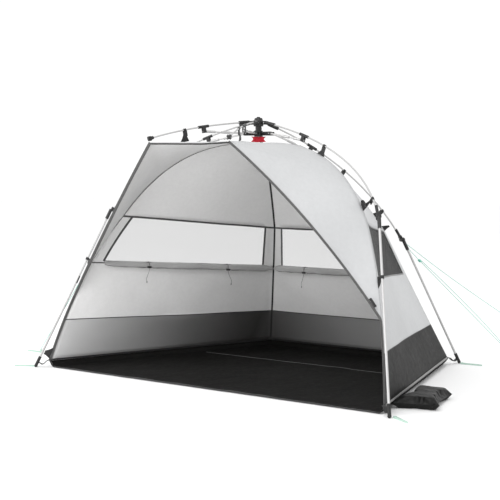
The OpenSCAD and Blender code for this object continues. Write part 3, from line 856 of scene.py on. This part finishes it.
POCKET = vectors((1.082, -0.392, 0), (1.325, -0.31, 0), (1.215, 0.055, 0), (0.978, 0.05, 0))
POCKET_MIDDLE = sum(POCKET, Vector()) / 4
POCKET_H = 0.034
PRESSURE, SIM_FRAMES, FURTHEST = 9.0, 24, 0.032


def pocket_point(s, t):
    """A point of the flat bag: s across it, t along it, its sides drawn in between the corners."""
    a, b, c, d = POCKET
    p = a.lerp(b, s).lerp(d.lerp(c, s), t)
    drawn_in = 0.02 * (math.sin(math.pi * s) * (2 * t - 1) ** 8 + math.sin(math.pi * t) * (2 * s - 1) ** 8)
    return p + (POCKET_MIDDLE - p) * drawn_in


def inflate(obj):
    """Blows a closed bag up with cloth simulation; no point moves more than FURTHEST."""
    before = [v.co.copy() for v in obj.data.vertices]
    blown = obj.modifiers.new("cloth", "CLOTH")
    blown.settings.quality = 6
    blown.settings.mass = 0.2
    blown.settings.use_pressure = True
    blown.settings.uniform_pressure_force = PRESSURE
    blown.settings.tension_stiffness = blown.settings.compression_stiffness = 12
    blown.settings.shear_stiffness = 4
    blown.settings.bending_stiffness = 0.4
    blown.settings.effector_weights.gravity = 0
    blown.collision_settings.use_collision = False
    blown.point_cache.frame_end = SIM_FRAMES
    for frame_number in range(1, SIM_FRAMES + 1):
        bpy.context.scene.frame_set(frame_number)
    apply_modifiers(obj)
    bpy.context.scene.frame_set(1)
    for v, start in zip(obj.data.vertices, before):
        moved = v.co - start
        if moved.length > FURTHEST:
            v.co = start + moved.normalized() * FURTHEST


def sand_bag():
    """A closed bag of two layers, blown up and laid on the ground, for the right side."""
    cols, rows = 42, 66
    points, index = [], {}
    for layer in (1, -1):
        for i in range(cols + 1):
            for j in range(rows + 1):
                if layer == -1 and (i in (0, cols) or j in (0, rows)):
                    index[layer, i, j] = index[1, i, j]
                    continue
                s, t = i / cols, j / rows
                p = pocket_point(s, t)
                puff = 0.007 * (math.sin(math.pi * s) * math.sin(math.pi * t)) ** 0.5
                calm = min(1, 8 * s * (1 - s) * 4 * t * (1 - t))
                puff += 0.0014 * noise.noise(p * 16 + Vector((0, 0, layer))) * calm
                index[layer, i, j] = len(points)
                points.append(Vector((p.x, p.y, POCKET_H + layer * puff)))
    faces = []
    for layer in (1, -1):
        for i in range(cols):
            for j in range(rows):
                quad = [index[layer, i + a, j + b] for a, b in ((0, 0), (1, 0), (1, 1), (0, 1))]
                faces.append(quad if layer == 1 else quad[::-1])
    made = mesh_object("sand_bag_right", points, faces, "pocket")
    inflate(made)
    lowest = POCKET_H - 0.024
    for v in made.data.vertices:
        # the bag rests flat on the ground
        v.co.z = 0.002 + (v.co.z - lowest if v.co.z > lowest else 0.02 * max(0.0, v.co.z))
    return made


bag = sand_bag()
smoother = bag.modifiers.new("round", "SUBSURF")
smoother.levels = smoother.render_levels = 1
apply_modifiers(bag)
other = mesh_object("sand_bag_left", [flip(v.co) for v in bag.data.vertices],
                    [list(p.vertices)[::-1] for p in bag.data.polygons], "pocket")
for made, tag in ((bag, "right"), (other, "left")):
    settle(made, "sand_pocket_" + tag)

# ---------------------------------------------------------------- straps, tabs and pulls


def strap(name, points, width, material, face=UP, thickness=0.0016):
    """Flat webbing along a curve, its face kept as near to face as the curve lets it."""
    line = smooth_route(points, 6)
    last = len(line) - 1
    ways = [(line[min(i + 1, last)] - line[max(i - 1, 0)]).normalized() for i in range(last + 1)]
    outs = [(face - w * face.dot(w)).normalized() for w in ways]
    across = [w.cross(o).normalized() for w, o in zip(ways, outs)]
    return tape(name, line, across, outs, width, thickness, material, 0.0004)


corner_parts = []
for i, (corner, foot) in enumerate(((FC, FRONT_FOOT), (RC, REAR_FOOT))):
    for mirror in (False, True):
        way = Vector((foot.x - corner.x, foot.y - corner.y, 0)).normalized()
        pts = [corner - way * 0.012 + UP * 0.004, corner + way * 0.01 + UP * 0.002,
               (corner + foot) / 2 - UP * 0.006, foot - way * 0.016 + UP * 0.02]
        if mirror:
            pts = [flip(p) for p in pts]
        corner_parts.append(strap(f"strap{i}{mirror}", pts, 0.026, "webbing", thickness=0.0022))
settle(join("corner_webbing", corner_parts), "corner_straps")


def clip_tab(name, top, low, way, width):
    """The sewn tab under a clip: wide at the fabric, narrow at the clip."""
    down = low - top
    n = way.cross(down).normalized()
    points, faces = [], []
    rows = 8
    for i in range(rows + 1):
        t = i / rows
        w = width * (0.32 + 0.68 * t ** 1.4)
        p = top + down * t + n * 0.003 * math.sin(math.pi * t)
        for s in (-1, 1):
            points += [p + way * s * w / 2 + n * 0.0012, p + way * s * w / 2 - n * 0.0012]
    for i in range(rows):
        b = i * 4
        faces += [[b, b + 4, b + 6, b + 2], [b + 1, b + 3, b + 7, b + 5],
                  [b, b + 1, b + 5, b + 4], [b + 2, b + 6, b + 7, b + 3]]
    faces += [[0, 2, 3, 1], [rows * 4, rows * 4 + 1, rows * 4 + 3, rows * 4 + 2]]
    return mesh_object(name, points, faces, "webbing", smooth=False)


def both_sides(name, top, low, way, width):
    """That tab on the right side and its mirror image on the left."""
    return [clip_tab(name + "_right", top, low, way, width),
            clip_tab(name + "_left", flip(top), flip(low), flip(way), width)]


tabs = []
for arm, r, shares in (("front", FRONT, (0.36, 0.86)), ("rear", REAR, (0.48, 0.8, 0.9))):
    for t in shares:
        at = bend(ARMS[arm], t)
        way = (bend(ARMS[arm], t + 0.01) - bend(ARMS[arm], t - 0.01)).normalized()
        near = min((rib(r, v) for v in steps(0.05, 0.9, 170)), key=lambda p: (p - at).length)
        top = at + (near - at).normalized() * 0.02
        tabs += both_sides(f"tab_{arm}{t}", top, near, way, 0.035 if t > 0.7 else 0.055)
at = bend(ARMS["visor"], 0.62)
near = min((bend(VISOR, v) for v in steps(0.3, 1, 100)), key=lambda p: (p - at).length)
way = (bend(ARMS["visor"], 0.63) - bend(ARMS["visor"], 0.61)).normalized()
tabs += both_sides("tab_visor", at + (near - at).normalized() * 0.02, near, way, 0.055)
top_of_leg = ARMS["front"][2] + Vector((0.575, -0.68, 0.454)).normalized() * 0.02
way = (FRONT_FOOT - top_of_leg).normalized()
# one tab by the window, and a wider gusset just above the foot
for share, v, width in ((0.325, 0.695, 0.06), (0.915, 0.978, 0.075)):
    at, near = top_of_leg.lerp(FRONT_FOOT, share), rib(FRONT, v)
    tabs += both_sides(f"tab_leg{share}", at + (near - at).normalized() * 0.012, near, way, width)
for tag, turn in (("right", Vector), ("left", flip)):
    # a keeper where the opening's edge meets the rib, and a buckle on the shoulder by the front elbow
    keeper = [turn(bend(EDGE, t) + Vector((0.012, -0.006, 0.012))) for t in (0.91, 0.93, 0.95)]
    tabs.append(strap("keeper_" + tag, keeper, 0.014, "webbing", turn(Vector((0.6, -0.8, 0.3))), 0.004))
    centre = rib(FRONT, 0.452) + Vector((0.012, -0.004, 0.014))
    along, over = Vector((0.6, -0.35, -0.5)).normalized(), Vector((0.55, -0.3, 0.75)).normalized()
    ring = [turn(centre + along * 0.026 * math.cos(a) + over * 0.013 * math.sin(a))
            for a in steps(0, 6.283, 24)]
    bar = [turn(centre - along * 0.024), turn(centre + along * 0.024)]
    tabs += [tube("buckle_" + tag, ring, 0.0045, "black", 8),
             tube("buckle_bar_" + tag, bar, 0.005, "black", 8)]
settle(join("canopy_tabs", tabs), onto=HEM)

# the red pull under the runner: two folded wings held by a bar tack
pull_way = Vector((math.cos(math.radians(38)), math.sin(math.radians(38)), 0))
pull_out = Vector((pull_way.y, -pull_way.x, 0))
pull_top = Vector((0, 0, 1.333)) + pull_out * 0.014
rows, cols = 10, 16
points = []
for i in range(rows + 1):
    t = i / rows
    half = 0.041 - 0.011 * math.sin(math.pi * min(1, t * 1.05))
    for j in range(cols + 1):
        s = 2 * j / cols - 1
        sag = 0.003 * (1 - s * s) * t
        wave = 0.0025 * math.sin(s * 7 + t * 2) * (0.3 + t)
        points.append(pull_top + pull_way * s * half - UP * (0.028 * t + sag) + pull_out * wave)
pull = mesh_object("pull_flap", points, grid_faces(rows, cols), "red")
thicken(pull, 0.0018)
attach(pull, "runner")
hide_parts("pull_strap")

# ---------------------------------------------------------------- small hardware on the frame

TURNS = {"front": -6.0, "rear": 57.2, "visor": -65.7}
# distance from the hub's axis, height and radius of the pins
CROWN_PIN, RUNNER_PIN = (0.046, 1.408, 0.0042), (0.084, 1.350, 0.0038)
PIN_L = 0.0176
# height and radius of the hub's raised rings
RINGS = ((1.3665, 0.0195), (1.3915, 0.0195), (1.4185, 0.0275))


def rivet(out, axis, reach, height, radius):
    """A pin with a domed head on each side."""
    path = [out * reach + UP * height + axis * x
            for x in (-PIN_L / 2 - 0.0012, -PIN_L / 2, PIN_L / 2, PIN_L / 2 + 0.0012)]
    return tube("rivet", path, radius, "steel", 14, radii=[0.55, 1, 1, 0.55])


crown_bits, runner_bits = [], []
for tag, turn in TURNS.items():
    for s in (1, -1):
        a = math.radians(turn if s > 0 else 180 - turn)
        out, across = Vector((math.cos(a), math.sin(a), 0)), Vector((-math.sin(a), math.cos(a), 0))
        crown_bits.append(rivet(out, across, *CROWN_PIN))
        runner_bits.append(rivet(out, across, *RUNNER_PIN))
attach(join("crown_rivets", crown_bits), "crown")
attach(join("runner_rivets", runner_bits), "runner")
rings = [tube("ring", [UP * (z - 0.0015), UP * z, UP * (z + 0.0015)], r, "black", 40, radii=[0.97, 1, 0.97])
         for z, r in RINGS]
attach(join("crown_rings", rings), "crown")

# ---------------------------------------------------------------- finishes of the CAD nodes

FINISH = [("pole", "tube"), ("leg", "tube"), ("strut", "rod"), ("brackets", "black"), ("knee", "black"),
          ("socket", "black"), ("tip_visor", "black"), ("foot_pegs", "peg"), ("foot", "rubber"),
          ("hub_crown", "black"), ("release_button", "black"), ("runner", "black"),
          ("guyline_pegs", "peg")]
for name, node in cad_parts.items():
    for start, finish in FINISH:
        if name.startswith(start):
            node.data.materials.clear()
            node.data.materials.append(MAT[finish])
            break

# ---------------------------------------------------------------- floor and light

floor_data = bpy.data.meshes.new("studio_floor")
floor_data.from_pydata([(-30, -30, 0), (30, -30, 0), (30, 30, 0), (-30, 30, 0)], [], [[0, 1, 2, 3]])
floor = bpy.data.objects.new("studio_floor", floor_data)
pale = Nodes("studio_pale", 0.9, Specular_IOR_Level=0.1)
pale.colour(pale.mix(pale.noise(0.4), (0.955, 0.955, 0.955), (0.965, 0.965, 0.965)))
floor_data.materials.append(pale.material)
bpy.context.scene.collection.objects.link(floor)

world = bpy.data.worlds.new("studio")
world.use_nodes = True
world.node_tree.nodes["Background"].inputs["Color"].default_value = (1, 1, 1, 1)
world.node_tree.nodes["Background"].inputs["Strength"].default_value = 1.05
bpy.context.scene.world = world


def area_light(name, at, aim, size, power):
    data = bpy.data.lights.new(name, "AREA")
    data.shape, data.size, data.energy = "DISK", size, power
    made = bpy.data.objects.new(name, data)
    made.location = at
    made.rotation_euler = (Vector(aim) - Vector(at)).to_track_quat("-Z", "Y").to_euler()
    bpy.context.scene.collection.objects.link(made)


area_light("key", (2.2, -5.5, 5.2), (0, 0, 0.4), 3.0, 150)
area_light("left_fill", (-4.5, -3.5, 3.2), (-0.2, 0.2, 0.6), 2.6, 100)
area_light("front_fill", (1.6, -5.2, 0.9), (-0.2, 0.5, 0.6), 2.4, 35)

view_settings = bpy.context.scene.view_settings
view_settings.view_transform = "Standard"
view_settings.look = "None"
